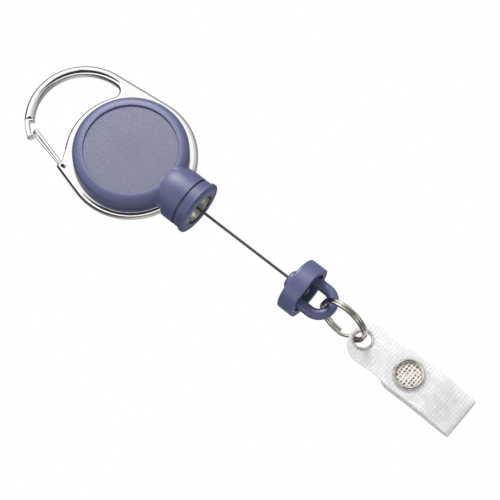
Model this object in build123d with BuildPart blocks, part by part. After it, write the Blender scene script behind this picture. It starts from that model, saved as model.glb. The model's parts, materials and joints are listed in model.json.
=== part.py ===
"""Retractable badge reel on a carabiner frame, with cord stop, split ring and snap strap.

Millimetres. +X is the way the cord pulls, +Z the way the reel's face looks. The origin is on
the drum's axis, on the flat back face of the case.
"""

import os
from math import acos, atan2, cos, degrees, hypot, radians, sin, sqrt

from build123d import *

# ---- fits and clearances ----------------------------------------------------------------
seat_gap = 0.03  # between pieces that are pressed, snapped or clamped together
run_gap = 0.08  # radial, between a shaft and its bore
side_gap = 0.15  # between a moving piece and the wall beside it
free_gap = 0.30  # between bodies that only pass each other

# ---- reel case --------------------------------------------------------------------------
case_radius = 16.5
case_thickness = 12.0
case_wall = 1.2
floor_thickness = 1.3
rim_height = 1.9  # of the rounded rim
rim_width = 2.6
recess_margin = 0.5  # flat ring between the rim and the recess
recess_depth = 0.5
recess_edge = 0.18
spigot_length = 0.8  # the front shell's lip reaches into the rear shell
back_groove_inset = 3.9  # groove's middle, in from the case's outside
back_groove_width = 0.6
back_groove_depth = 0.3

# ---- carabiner frame --------------------------------------------------------------------
frame_width = 2.3  # how far the ring stands out of the case
frame_thickness = 3.4
frame_round = 1.3
opening_width = 2.4  # the same, on the side of the hook opening
tongue = 1.15  # how far the ring reaches in between the shells
arch_offset = 17.5  # hook arch centre, behind the drum's axis
arch_radius = 16.9  # outside of the hook arch
bar_width = 2.85
corner_round = 2.2  # inside the opening, where the arch meets the ring
nose_start = 221.0  # degrees round the arch, where the bar thins to the nose
nose_end = 239.5
nose_width = 1.55
nose_height = 2.6
nose_lip = 0.5  # inward step at the tip
nose_inset = 0.12
nose_round = 0.45
nose_tip_round = 0.9
lug_round = 0.5
lug_shoulder_angle = 212.0  # degrees round the ring, where the lug begins
lug_end = 2.4  # from the pivot to the lug's end
lug_inside = 1.1  # from the pivot to the lug's side at the opening
lug_outside = 0.85
pivot_angle = 230.8  # degrees round the ring
pivot_offset = 0.2  # beyond the ring's outside

# ---- wire gate --------------------------------------------------------------------------
wire_diameter = 0.9
wire_rise = 0.65  # each wire's centre above or below the frame's middle
wire_bend = 0.5
wire_splay = 0.4  # sideways offset of each wire at the gate's end
gate_rest = 1.1  # from the nose's inside to the middle of the gate's end bend
gate_rest_angle = 232.4  # degrees round the arch
pivot_slot = 0.8  # lets the bent wire ends in from the lug's tip
pin_inset = 0.3  # the gate's pins end below the lug's faces
gate_swing = 30.0
pocket_reach = 5.6  # how far the lug is slotted round the pivot

# ---- nozzle neck ------------------------------------------------------------------------
neck_radius = 7.65
neck_root = 4.1  # the neck begins this far inside the case's radius
neck_start_radius = 5.6
neck_shoulder = 6.3  # length over which the neck swells to its full radius
neck_length = 8.7  # from the case's radius to the nozzle's end
flange_rise = 0.5  # the flange stands this far out of the neck
flange_length = 1.6
collar_length = 1.7  # between the groove and the flange
groove_width = 0.8
groove_depth = 0.55
nozzle_edge = 0.4
nozzle_bevel = 0.4  # the end face slopes back by this much towards the flange's rim
nozzle_land = 0.6  # flat round the ferrule, where the stop comes to rest
neck_blend = 1.2  # rounded corner between neck and case

# ---- ferrule ----------------------------------------------------------------------------
ferrule_bore = 4.5
ferrule_wall = 0.6
ferrule_inset = 0.4
ferrule_mouth = 2.9  # straight bore that takes the stop's boss
ferrule_cone = 4.0
throat_radius = 0.8
ferrule_length = 7.8

# ---- cord -------------------------------------------------------------------------------
cord_diameter = 0.8
turn_gap = 0.04
turns_wide = 3
layers = 3
layer_step = 0.82
entry_bend = 1.2  # radius of the cord's bend behind the ferrule
entry_inset = 1.0  # from the ferrule to the bend
lead_wrap = 200.0  # degrees of the outermost turn that stay with the lead-in

# ---- drum, post and spring --------------------------------------------------------------
post_radius = 2.5
post_socket = 0.6  # depth of the post's seat in the rear shell
washer_radius = 5.0
washer_thickness = 0.5
groove_reach = 3.0  # how far the flanges stand out of the barrel
barrel_wall = 1.2
web_thickness = 1.0
drum_clearance = 0.32  # between the flanges and the case
drum_flange_thickness = 0.9
groove_half = 1.5
entry_slot = 5.4  # half the width of the cord's way out of the case
cover_thickness = 0.8
cover_ledge = 0.5
spring_gauge = 0.2
spring_turns = 9
spring_inner_radius = 3.3
spring_edge_gap = 0.3
hook_width = 0.5
hook_depth = 0.7
anchor_reach = 1.1  # out from the barrel, where the cord's inner end goes through the flange
anchor_angle = 120.0
knot_radius = 0.8

# ---- cord stop --------------------------------------------------------------------------
stop_start = 59.2  # the face that meets the nozzle
stop_radius = 8.0
stop_length = 5.1
stop_front_round = 0.6
stop_rear_round = 1.5
boss_radius = 2.9
boss_length = 2.1
boss_round = 1.1
hollow_radius = 6.2
hollow_depth = 2.7
loop_tip = 73.3
loop_width = 11.2
loop_bar = 3.2
end_knot_radius = 1.3
end_knot_length = 2.2

# ---- split ring -------------------------------------------------------------------------
ring_radius = 7.8
ring_wire_radial = 1.1
ring_wire_axial = 0.85
ring_wire_round = 0.34
coil_gap = 0.06
ring_cross_at = 285.0  # degrees round the ring, where the wire steps from coil to coil
ring_cross_angle = 16.0  # from the step to each end of the wire
ring_lean = 8.0  # degrees from upright
table_z = -2.15  # what the part lies on

# ---- strap and snap ---------------------------------------------------------------------
strap_width = 12.5
strap_gauge = 0.6
strap_lead = 3.85  # from the strap's end to the eyelet's axis
strap_end_radius = 6.05
waist_width = 11.5
waist_reach = 8.5  # this and the reaches below are measured from the eyelet's axis
waist_end_reach = 13.5
strap_z = 1.95  # middle of the upper layer
flap_z = -0.85  # middle of the flap at the snap
fold_reach = 34.8
fold_radius = 0.95
fold_z = -0.85
bulge_reach = 24.5
bulge_z = 2.15
flap_end_reach = 8.9
flap_corner = 4.5
strap_seam = 0.02
eyelet_ahead = 0.7  # beyond the ring's wire where it comes through
eyelet_hole = 2.4
eyelet_wall = 0.3
eyelet_flange = 3.1
eyelet_lip = 0.35
snap_reach = 16.1
snap_ring_radius = 4.5
snap_ring_inner = 3.55
snap_ring_height = 0.85
socket_radius = 4.3
socket_height = 1.2
socket_bore = 1.9
socket_top = 0.2
stud_radius = 1.55
stud_neck_radius = 1.3
stud_height = 1.15
stud_base_height = 0.5
stud_head = 0.5
socket_edge = 0.3
prong_radius = 0.25
prong_reach = 0.35
prong_count = 5

# ---- planes, points and levels worked out from the sizes above ---------------------------
axis_z = case_thickness / 2  # height of the cord's axis and of the parting line
mid = Plane.XY.offset(axis_z)
cord_axis = Axis((0, 0, axis_z), (1, 0, 0))
frame_half = frame_thickness / 2
frame_radius = case_radius + frame_width
opening_radius = case_radius + opening_width
recess_radius = case_radius - rim_width - recess_margin
neck_start = case_radius - neck_root
nozzle_end = case_radius + neck_length
flange_radius = neck_radius + flange_rise
ferrule_end = nozzle_end - ferrule_inset
ferrule_start = ferrule_end - ferrule_length
entry_x = ferrule_start - entry_inset
tongue_radius = case_radius - tongue
lip_radius = tongue_radius - seat_gap
cavity_radius = lip_radius - case_wall
drum_flange_radius = cavity_radius - drum_clearance
barrel_radius = drum_flange_radius - groove_reach
anchor_radius = barrel_radius + anchor_reach
face_z = case_thickness - recess_depth
ceiling_z = face_z - floor_thickness
ferrule_radius = ferrule_bore + ferrule_wall
seat_radius = ferrule_radius + seat_gap
ring_end_y = seat_radius + 0.8
cord_radius = cord_diameter / 2
drum_low = floor_thickness + washer_thickness + side_gap
drum_top = ceiling_z - washer_thickness - side_gap
cover_low = drum_top - cover_thickness
spring_low = drum_low + web_thickness + spring_edge_gap
spring_width = cover_low - spring_edge_gap - spring_low


def polar(radius, angle, center=(0, 0)):
    """Point at a radius and an angle in degrees round a centre."""
    return (center[0] + radius * cos(radians(angle)), center[1] + radius * sin(radians(angle)))


def save(piece, name):
    """Label a finished piece and write it."""
    piece.part.label = name
    export_step(piece.part, f"parts/{name}.step")


os.makedirs("parts", exist_ok=True)

# ---- carabiner frame: ring, hook arch, nose and pivot lug ---------------------------------
arch_center = (-arch_offset, 0)
arch_inside = arch_radius - bar_width
pivot = polar(frame_radius + pivot_offset, pivot_angle)
lug_end_x, lug_inner_y, lug_outer_y = pivot[0] - lug_end, pivot[1] + lug_inside, pivot[1] - lug_outside
gate_tip = polar(arch_radius - nose_width - gate_rest, gate_rest_angle, arch_center)
gate_reach = hypot(gate_tip[0] - pivot[0], gate_tip[1] - pivot[1])
gate_angle = degrees(atan2(gate_tip[1] - pivot[1], gate_tip[0] - pivot[0]))
tangent_angle = 90 + degrees(acos(sqrt(1 - ((frame_radius - arch_radius) / arch_offset) ** 2)))
corner_x = (arch_inside**2 - opening_radius**2 - arch_offset**2) / (2 * arch_offset)
corner = (corner_x, sqrt(opening_radius**2 - corner_x**2))
corner_angle = degrees(atan2(corner[1], corner[0]))
corner_arch_angle = degrees(atan2(corner[1], corner[0] + arch_offset))
lug_corner = (lug_end_x, lug_outer_y)
lug_tangent = degrees(atan2(lug_outer_y, lug_end_x) + acos(frame_radius / hypot(*lug_corner)))
pocket_half = wire_rise + wire_diameter / 2 + side_gap
splay_angle = degrees(atan2(wire_splay, gate_reach - wire_rise))

with BuildPart() as nose:
    with BuildSketch(mid) as nose_outline:
        with BuildLine():
            outer, inner, hook = arch_radius - nose_inset, arch_radius - nose_width, nose_end - 3
            tip = polar(outer, nose_end, arch_center)
            CenterArc(arch_center, outer, nose_start - 3, nose_end - nose_start + 3)
            Polyline(
                tip,
                polar(inner - nose_lip, nose_end, arch_center),
                polar(inner - nose_lip / 2, hook, arch_center),
                polar(inner, hook - 2, arch_center),
            )
            CenterArc(arch_center, inner, hook - 2, nose_start - 3 - (hook - 2))
            Line(polar(inner, nose_start - 3, arch_center), polar(outer, nose_start - 3, arch_center))
        make_face()
        fillet(nose_outline.vertices().sort_by_distance((*tip, axis_z))[0], nose_tip_round)
    extrude(amount=nose_height / 2, both=True)
    fillet(nose.faces().filter_by(Axis.Z).edges(), nose_round)

with BuildPart() as carabiner_frame:
    with BuildSketch(mid) as plate:
        with BuildLine():
            CenterArc(arch_center, arch_radius, nose_start, tangent_angle - nose_start)
            Line(polar(arch_radius, tangent_angle, arch_center), polar(frame_radius, tangent_angle))
            CenterArc((0, 0), frame_radius, tangent_angle, lug_tangent - tangent_angle)
            Polyline(
                polar(frame_radius, lug_tangent),
                lug_corner,
                (lug_end_x, lug_inner_y),
                polar(opening_radius, lug_shoulder_angle),
            )
            CenterArc((0, 0), opening_radius, lug_shoulder_angle, corner_angle - lug_shoulder_angle)
            CenterArc(arch_center, arch_inside, corner_arch_angle, nose_start - corner_arch_angle)
            Line(polar(arch_inside, nose_start, arch_center), polar(arch_radius, nose_start, arch_center))
        make_face()
        inner_corner = plate.vertices().sort_by_distance((*corner, axis_z))[0]
        fillet(inner_corner, corner_round)
        lug_tip = ((lug_end_x, lug_outer_y, axis_z), (lug_end_x, lug_inner_y, axis_z))
        fillet([plate.vertices().sort_by_distance(point)[0] for point in lug_tip], lug_round)
    extrude(amount=frame_half, both=True)
    rims = carabiner_frame.faces().filter_by(Axis.Z).edges()
    fillet(rims, frame_round)
    with BuildSketch(mid):
        Circle(tongue_radius)
        with Locations((frame_radius, 0)):
            Rectangle(2 * (frame_radius - cavity_radius), 2 * ring_end_y)
    extrude(amount=frame_half, both=True, mode=Mode.SUBTRACT)
    add(nose.part)
    with BuildSketch(mid):
        with BuildLine():
            sweep_start = gate_angle - gate_swing - splay_angle
            sweep_arc = gate_swing + 2 * splay_angle
            CenterArc(pivot, pocket_reach, sweep_start, sweep_arc)
            Line(polar(pocket_reach, sweep_start + sweep_arc, pivot), pivot)
            Line(pivot, polar(pocket_reach, sweep_start, pivot))
        make_face()
        offset(amount=wire_diameter / 2 + side_gap)
    extrude(amount=pocket_half, both=True, mode=Mode.SUBTRACT)
    with BuildSketch(mid):
        with Locations(pivot):
            Circle(wire_diameter / 2 + run_gap)
        with Locations((pivot[0] - pivot_slot / 2, pivot[1])):
            SlotCenterToCenter(pivot_slot, wire_diameter + 2 * run_gap)
    extrude(amount=frame_half, both=True, mode=Mode.SUBTRACT)
save(carabiner_frame, "carabiner_frame")

# ---- wire gate: one bent spring wire, its ends hooked into the lug -------------------------
gate_plane = Plane(
    origin=(*pivot, axis_z),
    x_dir=(*polar(1, gate_angle), 0),
    z_dir=(*polar(1, gate_angle + 90), 0),
)  # sketch x = along the gate
pin_end = frame_half - pin_inset
tip_reach = gate_reach - hypot(wire_rise, wire_splay)
with BuildPart() as wire_gate:
    with BuildLine() as wire:
        points = [
            gate_plane.from_local_coords(point)
            for point in (
                (0, pin_end, 0),
                (0, wire_rise, 0),
                (tip_reach, wire_rise, wire_splay),
                (gate_reach, 0, 0),
                (tip_reach, -wire_rise, -wire_splay),
                (0, -wire_rise, 0),
                (0, -pin_end, 0),
            )
        ]
        upper = FilletPolyline(*points[:3], radius=wire_bend)
        lower = FilletPolyline(*points[4:], radius=wire_bend)
        Spline(*points[2:5], tangents=[upper % 1, lower % 0])
    with BuildSketch(Plane(origin=upper @ 0, z_dir=upper % 0)):
        Circle(wire_diameter / 2)
    sweep(path=wire.wires()[0])
save(wire_gate, "wire_gate")

# ---- neck profile, and the room that both shells leave for what they hold ------------------
flange_start = nozzle_end - flange_length
neck_groove_end = flange_start - collar_length
neck_groove_start = neck_groove_end - groove_width
neck_groove_radius = neck_radius - groove_depth
shoulder_end = neck_start + neck_shoulder

with BuildSketch(mid) as neck_half:
    with BuildLine():
        Polyline((shoulder_end, 0), (0, 0), (0, neck_start_radius), (neck_start, neck_start_radius))
        EllipticalCenterArc(
            (shoulder_end, neck_start_radius),
            neck_shoulder,
            neck_radius - neck_start_radius,
            180,
            arc_size=-90,
        )
        Polyline(
            (shoulder_end, neck_radius),
            (neck_groove_start, neck_radius),
            (neck_groove_start, neck_groove_radius),
            (neck_groove_end, neck_groove_radius),
            (neck_groove_end, neck_radius),
            (flange_start, neck_radius),
            (flange_start, flange_radius),
            (nozzle_end - nozzle_bevel, flange_radius),
            (nozzle_end, ferrule_radius + nozzle_land),
            (nozzle_end, 0),
            (shoulder_end, 0),
        )
    make_face()
    fillet(neck_half.vertices().group_by(Axis.Y)[-1], nozzle_edge)

with BuildPart() as ring_room:
    with BuildSketch(mid):
        Circle(frame_radius + seat_gap)
        Circle(lip_radius, mode=Mode.SUBTRACT)
        with Locations((frame_radius, 0)):
            Rectangle(frame_radius, 2 * (ring_end_y - seat_gap), mode=Mode.SUBTRACT)
    extrude(amount=frame_half + seat_gap, both=True)

with BuildPart() as bore_room:
    with BuildSketch(mid):
        with BuildLine():
            Polyline(
                (ferrule_start - seat_gap, 0),
                (ferrule_start - seat_gap, seat_radius),
                (ferrule_end, seat_radius),
                (nozzle_end, seat_radius - ferrule_wall / 2),
                (nozzle_end, 0),
                close=True,
            )
        make_face()
    revolve(axis=cord_axis)
    with BuildSketch(mid):
        with BuildLine():
            Polyline(
                (cavity_radius - 1, entry_slot),
                (ferrule_start, throat_radius + cord_radius),
                (ferrule_start, -throat_radius - cord_radius),
                (cavity_radius - 1, -entry_slot),
                close=True,
            )
        make_face()
    extrude(amount=cord_diameter, both=True)


def blend_edges(shell):
    """The edges where the neck grows out of the case."""
    plain = (GeomType.LINE, GeomType.CIRCLE, GeomType.ELLIPSE)
    return [edge for edge in shell.edges() if edge.geom_type not in plain and edge.center().X > 0]


# ---- front shell: dished face, drum post, upper half of the neck ---------------------------
post_end = floor_thickness - post_socket
spigot_radius = (cavity_radius + lip_radius) / 2
rim_side = case_radius - rim_width

with BuildPart() as front_shell:
    with BuildSketch(Plane.XZ):
        with BuildLine():
            Line((case_radius, axis_z), (case_radius, case_thickness - rim_height))
            EllipticalCenterArc(
                (rim_side, case_thickness - rim_height), rim_width, rim_height, 0, arc_size=90
            )
            Polyline((rim_side, case_thickness), (0, case_thickness), (0, axis_z), (case_radius, axis_z))
        make_face()
    revolve(axis=Axis.Z)
    revolve(neck_half.sketch, axis=cord_axis, revolution_arc=180)
    fillet(blend_edges(front_shell), neck_blend)
    with BuildSketch(Plane.XY.offset(face_z)):
        Circle(recess_radius)
    extrude(amount=case_radius, mode=Mode.SUBTRACT)
    with BuildSketch(mid):
        Circle(cavity_radius)
    extrude(amount=ceiling_z - axis_z, mode=Mode.SUBTRACT)
    with BuildSketch(Plane.XY.offset(post_end)):
        Circle(post_radius)
    extrude(amount=ceiling_z - post_end)
    with BuildSketch(Plane.XY.offset(axis_z - spigot_length)):
        Circle(spigot_radius)
        Circle(cavity_radius, mode=Mode.SUBTRACT)
    extrude(amount=spigot_length)
    add(ring_room.part, mode=Mode.SUBTRACT)
    add(bore_room.part, mode=Mode.SUBTRACT)
    with BuildSketch(Plane.XY.offset(spring_low - spring_edge_gap)):
        with Locations((post_radius, 0)):
            Rectangle(2 * hook_depth, hook_width)
    extrude(amount=spring_width + 2 * spring_edge_gap, mode=Mode.SUBTRACT)
    recess_rim = front_shell.edges().filter_by(GeomType.CIRCLE).filter_by(
        lambda edge: abs(edge.radius - recess_radius) < seat_gap and edge.center().Z > face_z
    )
    fillet(recess_rim, recess_edge)
save(front_shell, "front_shell")

# ---- rear shell: flat back, post seat, lower half of the neck ------------------------------
with BuildPart() as rear_shell:
    with BuildSketch(Plane.XZ):
        with BuildLine():
            Line((case_radius, axis_z), (case_radius, rim_height))
            EllipticalCenterArc((rim_side, rim_height), rim_width, rim_height, 0, arc_size=-90)
            Polyline((rim_side, 0), (0, 0), (0, axis_z), (case_radius, axis_z))
        make_face()
    revolve(axis=Axis.Z)
    revolve(neck_half.sketch, axis=cord_axis, revolution_arc=-180)
    fillet(blend_edges(rear_shell), neck_blend)
    with BuildSketch(mid):
        Circle(cavity_radius)
    extrude(amount=floor_thickness - axis_z, mode=Mode.SUBTRACT)
    with BuildSketch(Plane.XY.offset(post_end)):
        Circle(post_radius + seat_gap)
    extrude(amount=post_socket, mode=Mode.SUBTRACT)
    with BuildSketch(mid):
        Circle(spigot_radius + seat_gap)
    extrude(amount=-spigot_length - seat_gap, mode=Mode.SUBTRACT)
    with BuildSketch(Plane.XY):
        Circle(case_radius - back_groove_inset + back_groove_width / 2)
        Circle(case_radius - back_groove_inset - back_groove_width / 2, mode=Mode.SUBTRACT)
    extrude(amount=back_groove_depth, mode=Mode.SUBTRACT)
    add(ring_room.part, mode=Mode.SUBTRACT)
    add(bore_room.part, mode=Mode.SUBTRACT)
save(rear_shell, "rear_shell")

# ---- nozzle ferrule: drawn metal funnel ----------------------------------------------------
cone_start = ferrule_end - ferrule_mouth
cone_end = cone_start - ferrule_cone
with BuildPart() as nozzle_ferrule:
    with BuildSketch(mid) as ferrule_section:
        with BuildLine():
            Polyline(
                (ferrule_start, throat_radius),
                (cone_end, throat_radius),
                (cone_start, ferrule_bore),
                (ferrule_end, ferrule_bore),
                (ferrule_end, ferrule_radius),
                (cone_start, ferrule_radius),
                (ferrule_start, ferrule_radius),
                close=True,
            )
        make_face()
        ends = ferrule_section.vertices().sort_by(Axis.Y)[:2]
        fillet(ends, throat_radius / 3)
    revolve(axis=cord_axis)
save(nozzle_ferrule, "nozzle_ferrule")

# ---- thrust washers of the drum ------------------------------------------------------------
for name, low in (("lower_washer", floor_thickness), ("upper_washer", ceiling_z - washer_thickness)):
    with BuildPart() as washer:
        with BuildSketch(Plane.XY.offset(low)):
            Circle(washer_radius)
            Circle(post_radius + side_gap, mode=Mode.SUBTRACT)
        extrude(amount=washer_thickness)
    save(washer, name)

# ---- cord drum with its spring barrel ------------------------------------------------------
bore_radius = post_radius + run_gap
barrel_inside = barrel_radius - barrel_wall
cover_seat = barrel_inside + cover_ledge
groove_low = axis_z - groove_half
groove_top = axis_z + groove_half
anchor = polar(anchor_radius, anchor_angle)
anchor_hole = cord_radius + run_gap

with BuildPart() as cord_drum:
    with BuildSketch(Plane.XZ):
        with BuildLine():
            Polyline(
                (bore_radius, drum_low),
                (barrel_radius, drum_low),
                (barrel_radius, groove_low - drum_flange_thickness),
                (drum_flange_radius, groove_low - drum_flange_thickness),
                (drum_flange_radius, groove_low),
                (barrel_radius, groove_low),
                (barrel_radius, groove_top),
                (drum_flange_radius, groove_top),
                (drum_flange_radius, groove_top + drum_flange_thickness),
                (barrel_radius, groove_top + drum_flange_thickness),
                (barrel_radius, drum_top),
                (cover_seat, drum_top),
                (cover_seat, cover_low),
                (barrel_inside, cover_low),
                (barrel_inside, drum_low + web_thickness),
                (bore_radius, drum_low + web_thickness),
                close=True,
            )
        make_face()
    revolve(axis=Axis.Z)
    with BuildSketch(Plane.XY.offset(groove_low - drum_flange_thickness)):
        with Locations(anchor):
            Circle(anchor_hole)
    extrude(amount=drum_flange_thickness, mode=Mode.SUBTRACT)
    with BuildSketch(Plane.XY.offset(spring_low - spring_edge_gap)):
        with Locations((-barrel_inside, 0)):
            Rectangle(2 * hook_depth, hook_width)
    extrude(amount=spring_width + 2 * spring_edge_gap, mode=Mode.SUBTRACT)
save(cord_drum, "cord_drum")

# ---- spring cover: disc that closes the barrel ---------------------------------------------
with BuildPart() as spring_cover:
    with BuildSketch(Plane.XY.offset(cover_low)):
        Circle(cover_seat - seat_gap)
        Circle(bore_radius, mode=Mode.SUBTRACT)
    extrude(amount=cover_thickness)
save(spring_cover, "spring_cover")

# ---- power spring: flat steel strip, wound from the post's slot to the barrel's notch -------
spring_outer_radius = barrel_inside - side_gap - spring_gauge
steps_per_turn = 12
spring_steps = spring_turns * steps_per_turn + steps_per_turn // 2


def spring_edge(side):
    """Points along one face of the wound strip."""
    pitch = (spring_outer_radius - spring_inner_radius) / spring_steps
    return [
        polar(spring_inner_radius + pitch * step + side * spring_gauge / 2, 360 * step / steps_per_turn)
        for step in range(spring_steps + 1)
    ]


with BuildPart() as power_spring:
    with BuildSketch(Plane.XY.offset(spring_low)):
        with BuildLine():
            inner_edge = Spline(*spring_edge(-1))
            outer_edge = Spline(*spring_edge(1))
            Line(inner_edge @ 0, outer_edge @ 0)
            Line(inner_edge @ 1, outer_edge @ 1)
        make_face()
        inner_tab = spring_inner_radius - post_radius + hook_depth - side_gap
        with Locations((spring_inner_radius - inner_tab / 2, 0)):
            Rectangle(inner_tab, spring_gauge)
        outer_tab = barrel_inside + hook_depth - side_gap - spring_outer_radius
        with Locations((-spring_outer_radius - outer_tab / 2, 0)):
            Rectangle(outer_tab, spring_gauge)
    extrude(amount=spring_width)
save(power_spring, "power_spring")

# ---- cord winding: what lies on the drum, its last turn left to the lead-in -----------------
turn_step = cord_diameter + turn_gap
first_layer = barrel_radius + seat_gap + cord_radius
layer_radii = [first_layer + layer * layer_step for layer in range(layers)]
outer_layer = layer_radii[-1]
wound_half = turn_step * (turns_wide - 1) / 2
turn_heights = [axis_z - wound_half + turn * turn_step for turn in range(turns_wide)]

with BuildPart() as cord_winding:
    with BuildSketch(Plane.XZ):
        block = layer_radii[-2] - barrel_radius - seat_gap
        with Locations((barrel_radius + seat_gap + block / 2, axis_z)):
            Rectangle(block, 2 * wound_half + cord_diameter)
        with Locations([(layer_radii[-2], height) for height in turn_heights]):
            Circle(cord_radius - turn_gap / 2)
        for height in (turn_heights[0], turn_heights[-1]):
            with Locations((outer_layer, height)):
                Circle(cord_radius - turn_gap / 2)
            with Locations(((outer_layer + layer_radii[-2]) / 2, height)):
                Rectangle(layer_step, cord_radius)
    revolve(axis=Axis.Z)
save(cord_winding, "cord_winding")

# ---- knot that anchors the cord's inner end under the drum's lower flange -------------------
with BuildPart() as cord_anchor_knot:
    knot_top = groove_low - drum_flange_thickness - seat_gap
    with BuildSketch(Plane.XY.offset(knot_top - knot_radius)):
        with Locations(anchor):
            Circle(cord_radius)
    extrude(amount=groove_low - seat_gap - knot_top + knot_radius)
    with Locations((*anchor, knot_top - knot_radius)):
        Sphere(knot_radius)
save(cord_anchor_knot, "cord_anchor_knot")

# ---- cord lead-in: last turn on the drum, across the case and round the ferrule's edge ------
leave_angle = degrees(acos(outer_layer / entry_x))
with BuildPart() as cord_lead_in:
    with BuildLine(mid) as lead_path:
        CenterArc((0, 0), outer_layer, leave_angle + lead_wrap, -lead_wrap)
        FilletPolyline(
            polar(outer_layer, leave_angle), (entry_x, 0), (ferrule_start, 0), radius=entry_bend
        )
    with BuildSketch(Plane(origin=lead_path.line @ 0, z_dir=lead_path.line % 0)):
        Circle(cord_radius)
    sweep(path=lead_path.line)
save(cord_lead_in, "cord_lead_in")
lead_radii = [edge.radius for edge in lead_path.edges() if edge.geom_type == GeomType.CIRCLE]
print("cord lead-in bend radii, mm:", ", ".join(f"{radius:.2f}" for radius in lead_radii))

# ---- cord run: the taut cord from the ferrule's throat to its knot in the stop --------------
hollow_floor = stop_start + stop_length - hollow_depth
with BuildPart() as cord_run:
    with BuildSketch(Plane.YZ.offset(ferrule_start)):
        with Locations((0, axis_z)):
            Circle(cord_radius)
    extrude(amount=hollow_floor - ferrule_start)
save(cord_run, "cord_run")

# ---- knot in the stop's hollow --------------------------------------------------------------
with BuildPart() as cord_end_knot:
    with BuildSketch(mid) as knot_section:
        with BuildLine():
            Polyline(
                (hollow_floor + end_knot_length, 0),
                (hollow_floor, 0),
                (hollow_floor, cord_radius),
                (hollow_floor + side_gap, cord_radius),
                (hollow_floor + side_gap, end_knot_radius),
                (hollow_floor + end_knot_length, end_knot_radius),
                close=True,
            )
        make_face()
        fillet(knot_section.vertices().group_by(Axis.Y)[-1], end_knot_length / 3)
    revolve(axis=cord_axis)
save(cord_end_knot, "cord_end_knot")

# ---- cord stop: disc, boss towards the nozzle, hollow rear face and D-loop ------------------
stop_end = stop_start + stop_length
loop_radius = (loop_width - loop_bar) / 2
loop_center_x = loop_tip - loop_bar / 2 - loop_radius
with BuildPart() as cord_stop:
    with BuildSketch(mid) as stop_section:
        with BuildLine():
            Polyline(
                (stop_start - boss_length, anchor_hole),
                (stop_start - boss_length, boss_radius),
                (stop_start, boss_radius),
                (stop_start, stop_radius),
                (stop_end, stop_radius),
                (stop_end, hollow_radius),
                (hollow_floor, hollow_radius),
                (hollow_floor, anchor_hole),
                close=True,
            )
        make_face()
        rim = stop_section.vertices().group_by(Axis.Y)[-1].sort_by(Axis.X)
        fillet(rim[0], stop_front_round)
        fillet(rim[1], stop_rear_round)
        boss_edge = (stop_start - boss_length, boss_radius, axis_z)
        fillet(stop_section.vertices().sort_by_distance(boss_edge)[0], boss_round)
    revolve(axis=cord_axis)
    with BuildLine(mid) as loop_path:
        Line((hollow_floor - seat_gap, loop_radius), (loop_center_x, loop_radius))
        CenterArc((loop_center_x, 0), loop_radius, 90, -180)
        Line((loop_center_x, -loop_radius), (hollow_floor - seat_gap, -loop_radius))
    with BuildSketch(Plane(origin=loop_path.line @ 0, z_dir=loop_path.line % 0)):
        Circle(loop_bar / 2)
    sweep(path=loop_path.line)
save(cord_stop, "cord_stop")

# ---- split ring: two coils of one flat wire, hung on the loop's bar -------------------------
ring_x = loop_tip - loop_bar - free_gap + ring_radius - ring_wire_radial
ring_z = table_z + ring_radius
coil_offset = (ring_wire_axial + coil_gap) / 2
ring_plane = Plane(
    origin=(ring_x, 0, ring_z),
    x_dir=(1, 0, 0),
    z_dir=(0, -cos(radians(ring_lean)), sin(radians(ring_lean))),
)
ring_middle = ring_radius - ring_wire_radial / 2
turn_arc = 360 - 2 * ring_cross_angle - degrees(coil_gap / ring_middle)


def on_coil(angle, height):
    """Point on the wire's centre line, in the ring's own plane."""
    return (*polar(ring_middle, ring_cross_at + angle), height)


with BuildLine() as coil:
    top_start, low_start = ring_cross_at - ring_cross_angle - turn_arc, ring_cross_at + ring_cross_angle
    top_turn = CenterArc((0, 0, coil_offset), ring_middle, top_start, turn_arc)
    low_turn = CenterArc((0, 0, -coil_offset), ring_middle, low_start, turn_arc)
    Spline(
        on_coil(-ring_cross_angle, coil_offset),
        on_coil(0, 0),
        on_coil(ring_cross_angle, -coil_offset),
        tangents=[top_turn % 1, low_turn % 0],
    )
with BuildPart() as ring_wire:
    with BuildSketch(Plane(top_turn @ 0, x_dir=(0, 0, 1), z_dir=top_turn % 0)):
        RectangleRounded(ring_wire_axial, ring_wire_radial, ring_wire_round)
    path = coil.wires()[0]
    sweep(path=path, binormal=path.moved(Location((0, 0, ring_radius))))
with BuildPart() as split_ring:
    with Locations(ring_plane.location):
        add(ring_wire.part)
save(split_ring, "split_ring")

# ---- strap: one band, its upper layer and, beyond the fold, its flap ------------------------
eyelet_x = ring_x + sqrt(ring_middle**2 - (ring_z - strap_z) ** 2) + eyelet_ahead
strap_start = eyelet_x - strap_lead
waist_x = eyelet_x + waist_reach
waist_end_x = eyelet_x + waist_end_reach
snap_x = eyelet_x + snap_reach
bulge_x = eyelet_x + bulge_reach
fold_x = eyelet_x + fold_reach
flap_end_x = eyelet_x + flap_end_reach
fold_center_x = fold_x - fold_radius - strap_gauge / 2
snap_edge_x = snap_x + socket_radius
prong_circle = (snap_ring_radius + snap_ring_inner) / 2
half_width = strap_width / 2
top_face = strap_z + strap_gauge / 2
under_face = strap_z - strap_gauge / 2
flap_top = flap_z + strap_gauge / 2
flap_under = flap_z - strap_gauge / 2

with BuildSketch() as strap_outline:
    with BuildLine():
        side = Spline(
            (strap_start + strap_end_radius, strap_end_radius),
            (waist_x, waist_width / 2),
            (waist_end_x, half_width),
            tangents=[(1, 0), (1, 0)],
        )
        Line(side @ 1, (fold_center_x - strap_seam, half_width))
        mirror(about=Plane.XZ)
        Line((fold_center_x - strap_seam, half_width), (fold_center_x - strap_seam, -half_width))
        CenterArc((strap_start + strap_end_radius, 0), strap_end_radius, 90, 180)
    make_face()
    with Locations((eyelet_x, 0)):
        Circle(eyelet_hole + eyelet_wall + seat_gap, mode=Mode.SUBTRACT)
    with Locations((snap_x, 0)):
        with PolarLocations(prong_circle, prong_count):
            Circle(prong_radius + seat_gap, mode=Mode.SUBTRACT)

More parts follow.
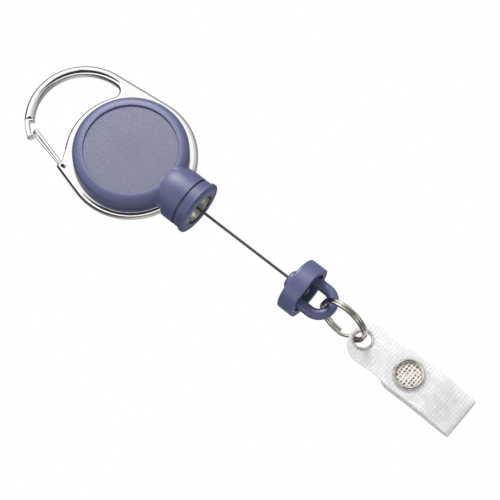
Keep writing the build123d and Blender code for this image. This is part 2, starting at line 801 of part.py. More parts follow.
with BuildPart() as strap_top:
    with BuildSketch(Plane.XZ):
        with BuildLine():
            Line((strap_start, strap_z), (snap_edge_x, strap_z))
            Spline(
                (snap_edge_x, strap_z),
                (bulge_x, bulge_z),
                (fold_center_x, fold_z + fold_radius),
                tangents=[(1, 0), (1, 0)],
            )
        trace(line_width=strap_gauge)
    extrude(amount=half_width, both=True)
    with BuildSketch(Plane.XY.offset(flap_under)):
        add(strap_outline.sketch)
    extrude(amount=strap_width, mode=Mode.INTERSECT)
save(strap_top, "strap_top")

with BuildSketch() as flap_outline:
    with Locations(((flap_end_x + fold_x) / 2, 0)):
        Rectangle(fold_x - flap_end_x, strap_width)
    fillet(flap_outline.vertices().group_by(Axis.X)[0], flap_corner)
    with Locations((snap_x, 0)):
        with PolarLocations(prong_circle, prong_count):
            Circle(prong_radius + seat_gap, mode=Mode.SUBTRACT)

with BuildPart() as strap_flap:
    with BuildSketch(Plane.XZ):
        with BuildLine():
            CenterArc((fold_center_x, fold_z), fold_radius, 90, -180)
            Spline(
                (fold_center_x, fold_z - fold_radius),
                (snap_edge_x, flap_z),
                tangents=[(-1, 0), (-1, 0)],
            )
            Line((snap_edge_x, flap_z), (flap_end_x, flap_z))
        trace(line_width=strap_gauge)
    extrude(amount=half_width, both=True)
    with BuildSketch(Plane.XY.offset(table_z)):
        add(flap_outline.sketch)
    extrude(amount=strap_width, mode=Mode.INTERSECT)
save(strap_flap, "strap_flap")

# ---- eyelet: rolled metal tube with a flange on each side of the strap ----------------------
with BuildPart() as strap_eyelet:
    with BuildSketch(Plane.XZ.move(Location((eyelet_x, 0, 0)))) as eyelet_section:
        with BuildLine():
            Polyline(
                (eyelet_hole, under_face - eyelet_lip),
                (eyelet_flange, under_face - eyelet_lip),
                (eyelet_flange, under_face),
                (eyelet_hole + eyelet_wall, under_face),
                (eyelet_hole + eyelet_wall, top_face),
                (eyelet_flange, top_face),
                (eyelet_flange, top_face + eyelet_lip),
                (eyelet_hole, top_face + eyelet_lip),
                close=True,
            )
        make_face()
        ends = eyelet_section.vertices().group_by(Axis.Y)
        fillet(ends[0] + ends[-1], eyelet_lip * 0.7)
    revolve(axis=Axis((eyelet_x, 0, 0), (0, 0, 1)))
save(strap_eyelet, "strap_eyelet")

# ---- snap: a prong ring on each side, a socket under the upper layer, a stud on the flap ----
snap_axis = Axis((snap_x, 0, 0), (0, 0, 1))
snap_section = Plane.XZ.move(Location((snap_x, 0, 0)))  # sketch x = distance from the snap's axis
socket_low = under_face - socket_height
stud_top = flap_top + stud_base_height + stud_height


def prong_ring(face, way):
    """Ring whose prongs go through a strap layer; way is +1 for a ring above its layer."""
    ring_face = face + way * snap_ring_height
    with BuildPart() as ring:
        with BuildSketch(snap_section) as section:
            with BuildLine():
                Polyline(
                    (snap_ring_inner, face),
                    (snap_ring_radius, face),
                    (snap_ring_radius, ring_face),
                    (snap_ring_inner, ring_face),
                    close=True,
                )
            make_face()
            fillet(section.vertices().group_by(Axis.Y)[-1 if way > 0 else 0], snap_ring_height / 2)
        revolve(axis=snap_axis)
        with BuildSketch(Plane.XY.offset(face)):
            with Locations((snap_x, 0)):
                with PolarLocations(prong_circle, prong_count):
                    Circle(prong_radius)
        extrude(amount=-way * (strap_gauge + prong_reach))
    return ring


save(prong_ring(top_face, 1), "snap_cap_ring")
save(prong_ring(flap_under, -1), "snap_back_ring")

with BuildPart() as snap_socket:
    with BuildSketch(snap_section) as socket_section:
        with BuildLine():
            Polyline(
                (0, under_face),
                (socket_radius, under_face),
                (socket_radius, socket_low),
                (socket_bore, socket_low),
                (socket_bore, under_face - socket_top),
                (0, under_face - socket_top),
                close=True,
            )
        make_face()
        fillet(socket_section.vertices().group_by(Axis.Y)[0], socket_edge)
    revolve(axis=snap_axis)
    with BuildSketch(Plane.XY.offset(under_face)):
        with Locations((snap_x, 0)):
            with PolarLocations(prong_circle, prong_count):
                Circle(prong_radius + seat_gap)
    extrude(amount=-prong_reach - seat_gap, mode=Mode.SUBTRACT)
save(snap_socket, "snap_socket")

with BuildPart() as snap_stud:
    with BuildSketch(snap_section) as stud_section:
        with BuildLine():
            Polyline(
                (0, flap_top),
                (socket_radius, flap_top),
                (socket_radius, flap_top + stud_base_height),
                (stud_neck_radius, flap_top + stud_base_height),
                (stud_neck_radius, stud_top - stud_head),
                (stud_radius, stud_top - stud_head),
                (stud_radius, stud_top),
                (0, stud_top),
                close=True,
            )
        make_face()
        head_corner = stud_section.vertices().sort_by_distance((stud_radius, stud_top, 0))[0]
        fillet(head_corner, stud_head / 2)
    revolve(axis=snap_axis)
    with BuildSketch(Plane.XY.offset(flap_top)):
        with Locations((snap_x, 0)):
            with PolarLocations(prong_circle, prong_count):
                Circle(prong_radius + seat_gap)
    extrude(amount=prong_reach + seat_gap, mode=Mode.SUBTRACT)
save(snap_stud, "snap_stud")
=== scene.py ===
import json
import math

import bmesh
import bpy
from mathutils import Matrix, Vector


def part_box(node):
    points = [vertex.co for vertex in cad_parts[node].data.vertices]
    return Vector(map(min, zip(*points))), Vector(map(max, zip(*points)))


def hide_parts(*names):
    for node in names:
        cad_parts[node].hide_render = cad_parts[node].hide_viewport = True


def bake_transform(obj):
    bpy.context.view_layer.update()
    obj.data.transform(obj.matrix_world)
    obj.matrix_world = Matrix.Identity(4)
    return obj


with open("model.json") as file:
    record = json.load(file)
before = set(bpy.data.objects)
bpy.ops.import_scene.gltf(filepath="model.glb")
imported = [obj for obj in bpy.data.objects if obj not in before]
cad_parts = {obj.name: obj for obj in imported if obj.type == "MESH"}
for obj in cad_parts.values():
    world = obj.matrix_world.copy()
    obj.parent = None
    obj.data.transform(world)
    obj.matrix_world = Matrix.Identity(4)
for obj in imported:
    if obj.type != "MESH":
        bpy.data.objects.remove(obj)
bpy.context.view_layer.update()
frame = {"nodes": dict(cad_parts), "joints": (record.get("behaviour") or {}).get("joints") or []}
nodes = frame["nodes"]
joints = {joint["name"]: joint for joint in frame["joints"]}

# ---- Camera --------------------------------------------------------------------------------
# A long lens looks down steeply at a point on the cord's line, from the side of the gate.
# The part lies across the view, from the hook at the upper left to the strap at the lower right.
axis_height = joints["drum_spin"]["pos_m"][2]
azimuth, elevation = math.radians(39.48), math.radians(68.52)
distance, view_width, sensor_width = 0.69875, 0.13868, 36
target = Vector((0.04358, -0.00044, axis_height))
to_camera = Vector(
    (
        math.sin(azimuth) * math.cos(elevation),
        -math.cos(azimuth) * math.cos(elevation),
        math.sin(elevation),
    )
)
camera = bpy.data.objects.new("camera", bpy.data.cameras.new("camera"))
bpy.context.collection.objects.link(camera)
bpy.context.scene.camera = camera
camera.location = target + to_camera * distance
camera.rotation_mode = "QUATERNION"
camera.rotation_quaternion = (-to_camera).to_track_quat("-Z", "Y")
camera.data.sensor_width = sensor_width
camera.data.lens = sensor_width * distance / view_width
camera.data.clip_start, camera.data.clip_end = 0.05, 5

# ---- Cord: the length drawn out of the nozzle ----------------------------------------------
# Braided black polyester, taut from the ferrule's throat to its knot in the stop.
cord_low, cord_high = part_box("cord_run")
start, end, radius = round(cord_low[0], 6), round(cord_high[0], 6), round(cord_high[1], 6)
strands = 8
plait_pitch = 0.0024
plait_depth = 0.07
steps_along, steps_around, path_steps = 360, 24, 60
grid = bmesh.new()
rings = []
for step in range(steps_along + 1):
    x = start + (end - start) * step / steps_along
    ring = []
    for spoke in range(steps_around):
        turn = 2 * math.pi * spoke / steps_around
        twist = 2 * math.pi * (x - start) / plait_pitch
        left = math.cos(strands / 2 * (turn + twist))
        right = math.cos(strands / 2 * (turn - twist))
        r = radius * (1 - plait_depth + plait_depth * max(abs(left), abs(right)))
        ring.append(grid.verts.new((x, r * math.cos(turn), axis_height + r * math.sin(turn))))
    rings.append(ring)
for first, second in zip(rings, rings[1:]):
    for spoke in range(steps_around):
        after = (spoke + 1) % steps_around
        grid.faces.new((first[spoke], first[after], second[after], second[spoke])).smooth = True
grid.faces.new(rings[0])
grid.faces.new(rings[-1][::-1])
bmesh.ops.recalc_face_normals(grid, faces=grid.faces)
cord_mesh = bpy.data.meshes.new("cord")
grid.to_mesh(cord_mesh)
grid.free()
cord = bpy.data.objects.new("cord", cord_mesh)
bpy.context.collection.objects.link(cord)
hidden_cord = ["cord_lead_in", "cord_winding", "cord_anchor_knot", "cord_end_knot"]
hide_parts("cord_run")
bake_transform(cord)


def srgb(code):
    """Linear colour of a hex code."""
    part = [int(code[i : i + 2], 16) / 255 for i in (1, 3, 5)]
    return (*[c / 12.92 if c <= 0.04045 else ((c + 0.055) / 1.055) ** 2.4 for c in part], 1)


def add(tree, kind, inputs=(), **settings):
    """A new shader node. A socket given as an input is linked, anything else is its value."""
    made = tree.nodes.new("ShaderNode" + kind)
    for name, value in settings.items():
        setattr(made, name, value)
    for name, value in dict(inputs).items():
        if isinstance(value, bpy.types.NodeSocket):
            tree.links.new(value, made.inputs[name])
        else:
            made.inputs[name].default_value = value
    return made


def surface(name):
    """A new material, its nodes, its shader, and the place on the part in metres."""
    made = bpy.data.materials.new(name)
    made.use_nodes = True
    tree = made.node_tree
    return made, tree, tree.nodes["Principled BSDF"], add(tree, "TexCoord").outputs["Object"]


def coat(material, pieces):
    """Gives these solids this material alone."""
    for piece in pieces:
        nodes[piece].data.materials.clear()
        nodes[piece].data.materials.append(material)


# Polyester braid: two sets of strands cross, with a fuzz of fine fibres. Shade is painted dull black
# into the valleys, and light is painted greyer where the strands stand proud. per_mm turns a count in a
# millimetre to one in a metre.
per_mm = 1000
polyester, tree, shader, place = surface("braided_polyester")
axes = add(tree, "SeparateXYZ", {0: place})
height = add(tree, "Math", {0: axes.outputs[2], 1: axis_height}, operation="SUBTRACT")
spin = add(tree, "Math", {0: axes.outputs[1], 1: height.outputs[0]}, operation="ARCTAN2")
waves = []
for hand in (-1, 1):
    run = add(tree, "Math", {0: axes.outputs[0], 1: hand * 2 * math.pi / plait_pitch}, operation="MULTIPLY")
    both = add(tree, "Math", {0: spin.outputs[0], 1: run.outputs[0]}, operation="ADD")
    wave = add(tree, "Math", {0: both.outputs[0], 1: strands / 2}, operation="MULTIPLY")
    waves.append(add(tree, "Math", {0: wave.outputs[0]}, operation="COSINE").outputs[0])
crest_light = add(tree, "Math", {0: waves[0], 1: waves[1]}, operation="MAXIMUM")
fibre = add(tree, "TexNoise", {"Vector": place, "Scale": 9 * per_mm, "Detail": 3.0})
# Painted shade and light: black in the plait's valleys, grey on its crests.
tone = add(tree, "Mix", {0: crest_light.outputs[0], 6: srgb("#161617"), 7: srgb("#414142")}, data_type="RGBA")
relief = add(tree, "Bump", {"Height": fibre.outputs[0], "Distance": 0.00003, "Strength": 0.5})
tree.links.new(tone.outputs[2], shader.inputs["Base Color"])
tree.links.new(relief.outputs[0], shader.inputs["Normal"])
shader.inputs["Roughness"].default_value = 0.7
shader.inputs["Sheen Weight"].default_value = 0.3
cord.data.materials.append(polyester)
coat(polyester, hidden_cord)

# ---- Carabiner frame and wire gate ---------------------------------------------------------
# The frame is one zinc casting: ring, hook arch, nose and pivot lug. The gate is bent from one
# wire and hooked into the lug. Both are polished and chrome plated.
hinge = joints["gate_hinge"]["pos_m"]
hole_shift = -0.00044
hole_stretch = (0.7, 1.4, 0.61)
hole_radius, hole_edge = 0.00098, 0.00103

# Chrome plate: a near white mirror with a slight cast ripple and fine scuffs. Shade is painted near
# black into the lug's pin hole.
chrome, tree, shader, place = surface("chrome_plate")
ripple = add(tree, "TexNoise", {"Vector": place, "Scale": 0.16 * per_mm, "Detail": 1.0})
scuff = add(tree, "TexNoise", {"Vector": place, "Scale": 2.2 * per_mm, "Detail": 6.0, "Roughness": 0.7})
wear = add(tree, "MapRange", {0: scuff.outputs[0], 1: 0.45, 2: 0.75, 3: 0.09, 4: 0.15})
relief = add(tree, "Bump", {"Height": ripple.outputs[0], "Distance": 0.0001, "Strength": 0.08})
hole = (hinge[0] + hole_shift, hinge[1], hinge[2])
reach = add(tree, "VectorMath", {0: place, 1: hole}, operation="SUBTRACT")
reach = add(tree, "VectorMath", {0: reach.outputs[0], 1: hole_stretch}, operation="MULTIPLY")
reach = add(tree, "VectorMath", {0: reach.outputs[0]}, operation="LENGTH").outputs["Value"]
# Painted shade: the pin hole is drawn near black.
hole_shade = add(tree, "MapRange", {0: reach, 1: hole_radius, 2: hole_edge, 3: 0.9, 4: 0.0})
tone = add(tree, "Mix", {0: hole_shade.outputs[0], 6: srgb("#f4f3f1"), 7: srgb("#1c1b1a")}, data_type="RGBA")
tree.links.new(tone.outputs[2], shader.inputs["Base Color"])
shader.inputs["Metallic"].default_value = 1
tree.links.new(wear.outputs[0], shader.inputs["Roughness"])
tree.links.new(relief.outputs[0], shader.inputs["Normal"])
coat(chrome, ("carabiner_frame", "wire_gate"))

# ---- Reel shells ---------------------------------------------------------------------------
# Two injection moulded halves, snapped together on the frame. ABS with a spark-eroded grain:
# matt, with soft wide highlights. The grain is drawn 0.3 mm wide, coarser than real, to show.
nozzle_end = round(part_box("front_shell")[1][0], 6)
dish_edge, dish_feather, dish_low, dish_high = 0.0171, 0.0006, 0.0095, 0.0105
dish_shade_middle, dish_shade_edge = 0.0115, 0.0127
end_light_start, end_light_full = nozzle_end - 0.00025, nozzle_end - 0.0001
upper_start, upper_full = axis_height - 0.0001, axis_height + 0.0001
seam_half, seam_feather = 0.00004, 0.00013
widen_start, widen_full, widened = nozzle_end - 0.0007, nozzle_end - 0.0003, 3.2
abs_plastic, tree, shader, place = surface("spark_eroded_abs")
grain = add(tree, "TexNoise", {"Vector": place, "Scale": 3 * per_mm, "Detail": 3.0, "Roughness": 0.7})
cloud = add(tree, "TexNoise", {"Vector": place, "Scale": 0.09 * per_mm, "Detail": 3.0})
tone = add(tree, "Mix", {0: cloud.outputs[0], 6: srgb("#3d4164"), 7: srgb("#43476a")}, data_type="RGBA")
axes = add(tree, "SeparateXYZ", {0: place})
ahead, height = axes.outputs[0], axes.outputs[2]

# The dished face has a greyer, dustier grain, and a faint painted shade in its middle.
# Distances are from the middle of the case's back.
middle = add(tree, "VectorMath", {0: place}, operation="LENGTH").outputs["Value"]
within = add(tree, "MapRange", {0: middle, 1: dish_edge, 2: dish_edge + dish_feather, 3: 1.0, 4: 0.0})
above = add(tree, "MapRange", {0: height, 1: dish_low, 2: dish_high})
dished = add(tree, "Math", {0: within.outputs[0], 1: above.outputs[0]}, operation="MULTIPLY")
tone = add(tree, "Mix", {0: dished.outputs[0], 6: tone.outputs[2], 7: srgb("#3e405c")}, data_type="RGBA")
specks = add(tree, "TexNoise", {"Vector": place, "Scale": 4.2 * per_mm, "Detail": 2.0})
dust = add(tree, "MapRange", {0: specks.outputs[0], 1: 0.5, 2: 0.62, 3: 0.0, 4: 0.4})
dust = add(tree, "Math", {0: dust.outputs[0], 1: dished.outputs[0]}, operation="MULTIPLY")
tone = add(tree, "Mix", {0: dust.outputs[0], 6: tone.outputs[2], 7: srgb("#686a88")}, data_type="RGBA")
# Painted shade: the middle of the dish is drawn darker.
dish_shade = add(tree, "MapRange", {0: middle, 1: dish_shade_middle, 2: dish_shade_edge, 3: 0.25, 4: 0.0})
tone = add(tree, "Mix", {0: dish_shade.outputs[0], 6: tone.outputs[2], 7: srgb("#2e3149")}, data_type="RGBA")

# Painted light: the nozzle's end face is drawn paler, its upper half more, as lit from above.
tip = add(tree, "MapRange", {0: ahead, 1: end_light_start, 2: end_light_full})
upper = add(tree, "MapRange", {0: height, 1: upper_start, 2: upper_full, 3: 0.2, 4: 0.75})
end_face_light = add(tree, "Math", {0: tip.outputs[0], 1: upper.outputs[0]}, operation="MULTIPLY")
tone = add(tree, "Mix", {0: end_face_light.outputs[0], 6: tone.outputs[2], 7: srgb("#666a8a")}, data_type="RGBA")

# The halves meet in a thin dark seam at the cord's height. On the nozzle's end face it is
# drawn three times as wide as real, so that it shows.
level = add(tree, "Math", {0: height, 1: axis_height}, operation="SUBTRACT")
level = add(tree, "Math", {0: level.outputs[0]}, operation="ABSOLUTE")
widen = add(tree, "MapRange", {0: ahead, 1: widen_start, 2: widen_full, 3: 1.0, 4: widened})
level = add(tree, "Math", {0: level.outputs[0], 1: widen.outputs[0]}, operation="DIVIDE")
seam = add(tree, "MapRange", {0: level.outputs[0], 1: seam_half, 2: seam_feather, 3: 0.85, 4: 0.0})
tone = add(tree, "Mix", {0: seam.outputs[0], 6: tone.outputs[2], 7: srgb("#20212e")}, data_type="RGBA")
matt = add(tree, "MapRange", {0: grain.outputs[0], 1: 0.3, 2: 0.7, 3: 0.4, 4: 0.54})
relief = add(tree, "Bump", {"Height": grain.outputs[0], "Distance": 0.00006, "Strength": 0.7})
tree.links.new(tone.outputs[2], shader.inputs["Base Color"])
tree.links.new(matt.outputs[0], shader.inputs["Roughness"])
tree.links.new(relief.outputs[0], shader.inputs["Normal"])
shader.inputs["Specular IOR Level"].default_value = 0.64
coat(abs_plastic, ("front_shell", "rear_shell"))

# ---- Cord stop -----------------------------------------------------------------------------
# One ABS moulding: disc, boss towards the reel, hollow back and D-loop. It comes from a
# smoother mould than the case, so that its highlights are tighter.
smooth_abs, tree, shader, place = surface("smooth_abs")
grain = add(tree, "TexNoise", {"Vector": place, "Scale": 4.2 * per_mm, "Detail": 3.0, "Roughness": 0.6})
cloud = add(tree, "TexNoise", {"Vector": place, "Scale": 0.15 * per_mm, "Detail": 3.0})
tone = add(tree, "Mix", {0: cloud.outputs[0], 6: srgb("#454a6c"), 7: srgb("#4b5073")}, data_type="RGBA")
satin = add(tree, "MapRange", {0: grain.outputs[0], 1: 0.3, 2: 0.7, 3: 0.3, 4: 0.42})
relief = add(tree, "Bump", {"Height": grain.outputs[0], "Distance": 0.00003, "Strength": 0.3})
tree.links.new(tone.outputs[2], shader.inputs["Base Color"])
tree.links.new(satin.outputs[0], shader.inputs["Roughness"])
tree.links.new(relief.outputs[0], shader.inputs["Normal"])
shader.inputs["Specular IOR Level"].default_value = 0.6
coat(smooth_abs, ("cord_stop",))

# ---- Split ring, eyelet and snap -----------------------------------------------------------
# Spring steel coil, rolled eyelet and pressed snap pieces, all bright nickel plated. Nickel
# is warmer and darker than chrome, and dulls in patches a few millimetres across.
nickel, tree, shader, place = surface("nickel_plate")
ripple = add(tree, "TexNoise", {"Vector": place, "Scale": 0.3 * per_mm, "Detail": 1.0})
scuff = add(tree, "TexNoise", {"Vector": place, "Scale": 2.6 * per_mm, "Detail": 6.0, "Roughness": 0.7})
wear = add(tree, "MapRange", {0: scuff.outputs[0], 1: 0.4, 2: 0.75, 3: 0.09, 4: 0.22})
relief = add(tree, "Bump", {"Height": ripple.outputs[0], "Distance": 0.0002, "Strength": 0.1})
tarnish = add(tree, "TexNoise", {"Vector": place, "Scale": 0.42 * per_mm, "Detail": 4.0})
clean = add(tree, "MapRange", {0: tarnish.outputs[0], 1: 0.38, 2: 0.58})
tone = add(tree, "Mix", {0: clean.outputs[0], 6: srgb("#b9b3aa"), 7: srgb("#e8e4dd")}, data_type="RGBA")
tree.links.new(tone.outputs[2], shader.inputs["Base Color"])
shader.inputs["Metallic"].default_value = 1
tree.links.new(wear.outputs[0], shader.inputs["Roughness"])
tree.links.new(relief.outputs[0], shader.inputs["Normal"])
snap_pieces = ("snap_cap_ring", "snap_back_ring", "snap_socket", "snap_stud")
coat(nickel, ("split_ring", "strap_eyelet", *snap_pieces))

# ---- Nozzle ferrule ------------------------------------------------------------------------
# A turned funnel pressed into the nozzle's bore, tumbled before it is nickel plated. It shines
# softly and pale, with scuffs from the cord.
tumbled_nickel, tree, shader, place = surface("tumbled_nickel")
scuff = add(tree, "TexNoise", {"Vector": place, "Scale": 2.6 * per_mm, "Detail": 6.0, "Roughness": 0.7})
wear = add(tree, "MapRange", {0: scuff.outputs[0], 1: 0.4, 2: 0.75, 3: 0.2, 4: 0.32})
shader.inputs["Base Color"].default_value = srgb("#f1efe9")
shader.inputs["Metallic"].default_value = 1
tree.links.new(wear.outputs[0], shader.inputs["Roughness"])
coat(tumbled_nickel, ("nozzle_ferrule",))

# ---- Strap ---------------------------------------------------------------------------------
# Clear vinyl laminated over an open white scrim, one band folded back under itself. The vinyl
# is glossy and hazy. The scrim shows as two crossing sets of pale threads that wander a little,
# and the set that lies across the band fills more of its pitch.
scrim_pitch = 0.001
scrim_sway = 0.0009
snap_low, snap_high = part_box("snap_cap_ring")
snap_ahead = (snap_low[0] + snap_high[0]) / 2
window_radius, window_edge = 0.0033, 0.0037
vinyl, tree, shader, place = surface("scrim_vinyl")
sway = add(tree, "TexNoise", {"Vector": place, "Scale": 0.26 * per_mm, "Detail": 2.0})
drift = add(tree, "VectorMath", {0: sway.outputs[1], 1: (scrim_sway, scrim_sway, 0)}, operation="MULTIPLY")
woven_place = add(tree, "VectorMath", {0: place, 1: drift.outputs[0]}).outputs[0]
axes = add(tree, "SeparateXYZ", {0: woven_place})
threads = []
for axis, gap_end in ((0, -0.35), (1, 0.35)):
    run = add(tree, "Math", {0: axes.outputs[axis], 1: 2 * math.pi / scrim_pitch}, operation="MULTIPLY")
    wave = add(tree, "Math", {0: run.outputs[0]}, operation="COSINE")
    thread = add(tree, "MapRange", {0: wave.outputs[0], 1: gap_end, 2: 1.0})
    threads.append(thread.outputs[0])
scrim = add(tree, "Math", {0: threads[0], 1: threads[1]}, operation="MAXIMUM")
haze = add(tree, "TexNoise", {"Vector": place, "Scale": 0.5 * per_mm, "Detail": 4.0})
uneven = add(tree, "MapRange", {0: haze.outputs[0], 1: 0.38, 2: 0.62, 3: 0.2, 4: 1.0})
woven = add(tree, "Math", {0: scrim.outputs[0], 1: uneven.outputs[0]}, operation="MULTIPLY")
tone = add(tree, "Mix", {0: woven.outputs[0], 6: srgb("#dadadb"), 7: srgb("#f4f4f4")}, data_type="RGBA")

# The cut edges are seen through the whole thickness of the band, and look grey.
lean = add(tree, "SeparateXYZ", {0: add(tree, "TexCoord").outputs["Normal"]})
upright = add(tree, "Math", {0: lean.outputs[2]}, operation="ABSOLUTE")
cut_edge = add(tree, "MapRange", {0: upright.outputs[0], 1: 0.2, 2: 0.75, 3: 1.0, 4: 0.0})
tone = add(tree, "Mix", {0: cut_edge.outputs[0], 6: tone.outputs[2], 7: srgb("#b4b4b6")}, data_type="RGBA")

# Inside the snap's ring the band lies pressed on the socket and is drawn opaque. The metal seen
# through it is painted in: a warm tint, and dark metal with painted glints in the scrim's holes.
flat = add(tree, "VectorMath", {0: place, 1: (1, 1, 0)}, operation="MULTIPLY")
reach = add(
    tree, "VectorMath", {0: flat.outputs[0], 1: (snap_ahead, 0, 0)}, operation="DISTANCE"
).outputs["Value"]
window = add(tree, "MapRange", {0: reach, 1: window_radius, 2: window_edge, 3: 1.0, 4: 0.0})
warm = add(tree, "Math", {0: window.outputs[0], 1: 0.75}, operation="MULTIPLY")
tone = add(tree, "Mix", {0: warm.outputs[0], 6: tone.outputs[2], 7: srgb("#c3bdb8")}, data_type="RGBA")
holes = add(tree, "MapRange", {0: scrim.outputs[0], 1: 0.1, 2: 0.75, 3: 1.0, 4: 0.0})
holes = add(tree, "Math", {0: window.outputs[0], 1: holes.outputs[0]}, operation="MULTIPLY")
# Painted reflection: noise lightens the metal in the holes in patches, standing in for its glints.
painted_glint = add(tree, "TexNoise", {"Vector": place, "Scale": 0.7 * per_mm, "Detail": 2.0})
painted_glint = add(tree, "MapRange", {0: painted_glint.outputs[0], 1: 0.42, 2: 0.6})
socket = add(tree, "Mix", {0: painted_glint.outputs[0], 6: srgb("#48413c"), 7: srgb("#a39b93")}, data_type="RGBA")
tone = add(tree, "Mix", {0: holes.outputs[0], 6: tone.outputs[2], 7: socket.outputs[2]}, data_type="RGBA")
relief = add(tree, "Bump", {"Height": woven.outputs[0], "Distance": 0.0001, "Strength": 0.3})
tree.links.new(tone.outputs[2], shader.inputs["Base Color"])
tree.links.new(relief.outputs[0], shader.inputs["Normal"])
shader.inputs["Roughness"].default_value = 0.3

# Bare vinyl lets more through than the threads do, and light from behind glows in it.
cover = add(tree, "MapRange", {0: woven.outputs[0], 3: 0.7, 4: 0.92})
cover = add(tree, "Math", {0: cover.outputs[0], 1: window.outputs[0]}, operation="MAXIMUM")
tree.links.new(cover.outputs[0], shader.inputs["Alpha"])
glow_share = add(tree, "MapRange", {0: window.outputs[0], 3: 0.45, 4: 0.0})
glow = add(tree, "BsdfTranslucent", {"Color": srgb("#f7f7f7"), "Normal": relief.outputs[0]})
soft = add(tree, "MixShader", {0: glow_share.outputs[0], 1: shader.outputs[0], 2: glow.outputs[0]})
tree.links.new(soft.outputs[0], tree.nodes["Material Output"].inputs[0])
coat(vinyl, ("strap_top", "strap_flap"))

# ---- Drum, cover and washers ---------------------------------------------------------------
# Moulded in natural nylon, which runs well on the case's post without grease: a warm white
# with a soft waxy gloss.
nylon, tree, shader, place = surface("moulded_nylon")
cloud = add(tree, "TexNoise", {"Vector": place, "Scale": 0.4 * per_mm, "Detail": 3.0})
tone = add(tree, "Mix", {0: cloud.outputs[0], 6: srgb("#deddd6"), 7: srgb("#eceae4")}, data_type="RGBA")
tree.links.new(tone.outputs[2], shader.inputs["Base Color"])
shader.inputs["Roughness"].default_value = 0.45
coat(nylon, ("cord_drum", "spring_cover", "lower_washer", "upper_washer"))

# ---- Power spring --------------------------------------------------------------------------
# Hardened flat steel strip, wound as a clock spring. It keeps the blue-grey oxide of its
# tempering, clouded in two tones.
steel, tree, shader, place = surface("blued_steel")
cloud = add(tree, "TexNoise", {"Vector": place, "Scale": 0.9 * per_mm, "Detail": 3.0})
tone = add(tree, "Mix", {0: cloud.outputs[0], 6: srgb("#4b5566"), 7: srgb("#6c7480")}, data_type="RGBA")
tree.links.new(tone.outputs[2], shader.inputs["Base Color"])
shader.inputs["Metallic"].default_value = 1
shader.inputs["Roughness"].default_value = 0.3
coat(steel, ("power_spring",))

# ---- Table ---------------------------------------------------------------------------------
# A round sheet of white paper just under the lowest piece. It looks plain white itself, throws
# a soft pale light up at the part, and doesn't show in the metals.
table_radius, table_sides = 0.3, 64
table_ahead, table_height = 0.04, -0.0022
table_mesh = bpy.data.meshes.new("table")
grid = bmesh.new()
bmesh.ops.create_circle(grid, cap_ends=True, radius=table_radius, segments=table_sides)
grid.to_mesh(table_mesh)
grid.free()
table = bpy.data.objects.new("table", table_mesh)
bpy.context.collection.objects.link(table)
table.location = (table_ahead, 0, table_height)
table.visible_glossy = False
paper = bpy.data.materials.new("white_paper")
paper.use_nodes = True
tree = paper.node_tree
seen = add(tree, "LightPath").outputs["Is Camera Ray"]
white = add(tree, "Emission", {"Color": (1, 1, 1, 1), "Strength": 1.0})
plain = add(tree, "BsdfDiffuse", {"Color": srgb("#cfcfcf")})
both = add(tree, "MixShader", {0: seen, 1: plain.outputs[0], 2: white.outputs[0]})
tree.links.new(both.outputs[0], tree.nodes["Material Output"].inputs[0])
table.data.materials.append(paper)

# ---- Studio tent ---------------------------------------------------------------------------
# What the metals and the gloss mirror: a tent that is bright overhead and has a dark band at the
# table's height. Each band is a height, 0 straight down to 1 straight up, and its brightness.
bands = (
    (0.2, 0.45),
    (0.36, 0.3),
    (0.44, 0.08),
    (0.48, 0.02),
    (0.53, 0.02),
    (0.58, 0.35),
    (0.66, 1.4),
    (0.86, 1.35),
    (0.95, 1.08),
)
below, overhead = 0.55, 1.05
world = bpy.data.worlds.new("tent")
bpy.context.scene.world = world
world.use_nodes = True
tree = world.node_tree
aim = add(tree, "TexCoord").outputs["Generated"]
rise = add(tree, "SeparateXYZ", {0: aim}).outputs[2]
share = add(tree, "MapRange", {0: rise, 1: -1.0, 2: 1.0})
tent = add(tree, "ValToRGB", {0: share.outputs[0]})
stops = tent.color_ramp.elements
stops[0].position, stops[0].color = 0.0, (below, below, below, 1)
stops[1].position, stops[1].color = 1.0, (overhead, overhead, overhead, 1)
for band, level in bands:
    stops.new(band).color = (level, level, level, 1)

# Ahead and to the left of the pull stands an even grey wall. Opposite it, the tent falls off to
# black near the table.
wall_way = (0.6, 0.8, 0)
wall = add(tree, "VectorMath", {0: aim, 1: wall_way}, operation="DOT_PRODUCT").outputs["Value"]
grey = add(tree, "MapRange", {0: wall, 1: -0.1, 2: 0.7, 3: 0.0, 4: 0.7})
tent = add(
    tree, "Mix", {0: 1.0, 6: tent.outputs[0], 7: grey.outputs[0]}, data_type="RGBA", blend_type="LIGHTEN"
)
shade = add(tree, "MapRange", {0: wall, 1: -0.6, 2: -0.1, 3: 0.9, 4: 0.0})
under = add(tree, "MapRange", {0: rise, 1: -0.1, 2: 0.3, 3: 1.0, 4: 0.0})
gloom = add(tree, "Math", {0: shade.outputs[0], 1: under.outputs[0]}, operation="MULTIPLY")
tent = add(
    tree, "Mix", {0: gloom.outputs[0], 6: tent.outputs[2], 7: (0.02, 0.02, 0.02, 1)}, data_type="RGBA"
)

# Three things dim it: the wall's own shade, the dark port that the lens looks through, and a
# black card ahead of the nozzle. Each is full at its second value and leaves its third.
card_way = (0.93, 0.2826, 0.2327)
lens = add(tree, "VectorMath", {0: aim, 1: tuple(to_camera)}, operation="DOT_PRODUCT")
card = add(tree, "VectorMath", {0: aim, 1: card_way}, operation="DOT_PRODUCT")
for toward, clear, full, remains in (
    (wall, 0.05, 0.6, 0.45),
    (lens.outputs["Value"], 0.78, 0.86, 0.03),
    (card.outputs["Value"], 0.92, 0.965, 0.05),
):
    dim = add(tree, "MapRange", {0: toward, 1: clear, 2: full, 3: 1.0, 4: remains})
    tent = add(
        tree, "Mix", {0: 1.0, 6: tent.outputs[2], 7: dim.outputs[0]}, data_type="RGBA", blend_type="MULTIPLY"
    )

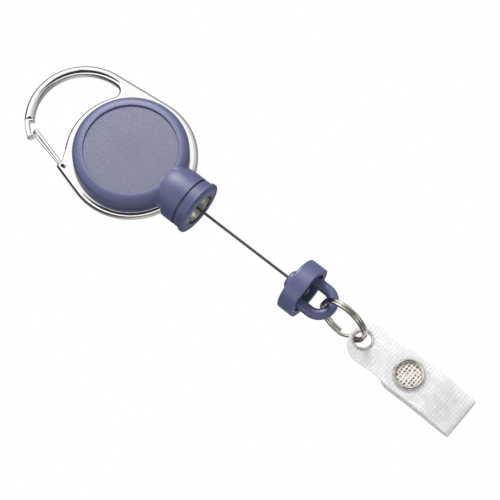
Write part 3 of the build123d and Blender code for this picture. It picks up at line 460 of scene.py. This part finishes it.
# Matt surfaces get plain soft light instead, brighter from above and from the open side, to
# the right of the pull. The background itself is white.
open_way = (0.45, -0.9, 0)
rays = add(tree, "LightPath")
fill = add(tree, "MapRange", {0: rise, 1: -0.2, 2: 0.6, 3: 0.42, 4: 0.8})
open_side = add(tree, "VectorMath", {0: aim, 1: open_way}, operation="DOT_PRODUCT")
bounce = add(tree, "MapRange", {0: open_side.outputs["Value"], 1: 0.1, 2: 0.8, 3: 0.0, 4: 0.7})
fill = add(tree, "Math", {0: fill.outputs[0], 1: bounce.outputs[0]}, operation="ADD")
tone = add(
    tree, "Mix", {0: rays.outputs["Is Glossy Ray"], 6: fill.outputs[0], 7: tent.outputs[2]}, data_type="RGBA"
)
tone = add(
    tree, "Mix", {0: rays.outputs["Is Camera Ray"], 6: tone.outputs[2], 7: (1, 1, 1, 1)}, data_type="RGBA"
)
tree.links.new(tone.outputs[2], tree.nodes["Background"].inputs[0])

# ---- Lamps ---------------------------------------------------------------------------------
# One soft round lamp, above and behind the hook, lights every colour. Its twin in the same
# place gives only the blue plastics a highlight: the metals mirror the tent alone, so their
# edges stay smooth.
lamp_place, lamp_target = Vector((-0.37, 0.34, 0.5)), Vector((0.03, 0, 0))
lamp_width, lamp_power = 0.34, 6.6
blue_pieces = bpy.data.collections.new("blue_pieces")
for name in ("front_shell", "rear_shell", "cord_stop"):
    blue_pieces.objects.link(nodes[name])
for name in ("lamp", "gloss_lamp"):
    lamp = bpy.data.objects.new(name, bpy.data.lights.new(name, "AREA"))
    bpy.context.collection.objects.link(lamp)
    lamp.location = lamp_place
    lamp.rotation_mode = "QUATERNION"
    lamp.rotation_quaternion = (lamp_place - lamp_target).to_track_quat("Z", "Y")
    lamp.data.shape = "DISK"
    lamp.data.size = lamp_width
    lamp.data.energy = lamp_power
    lamp.visible_diffuse = name == "lamp"
    lamp.visible_glossy = name == "gloss_lamp"
    if name == "gloss_lamp":
        lamp.light_linking.receiver_collection = blue_pieces
bpy.context.scene.view_settings.view_transform = "Standard"
bpy.context.view_layer.update()
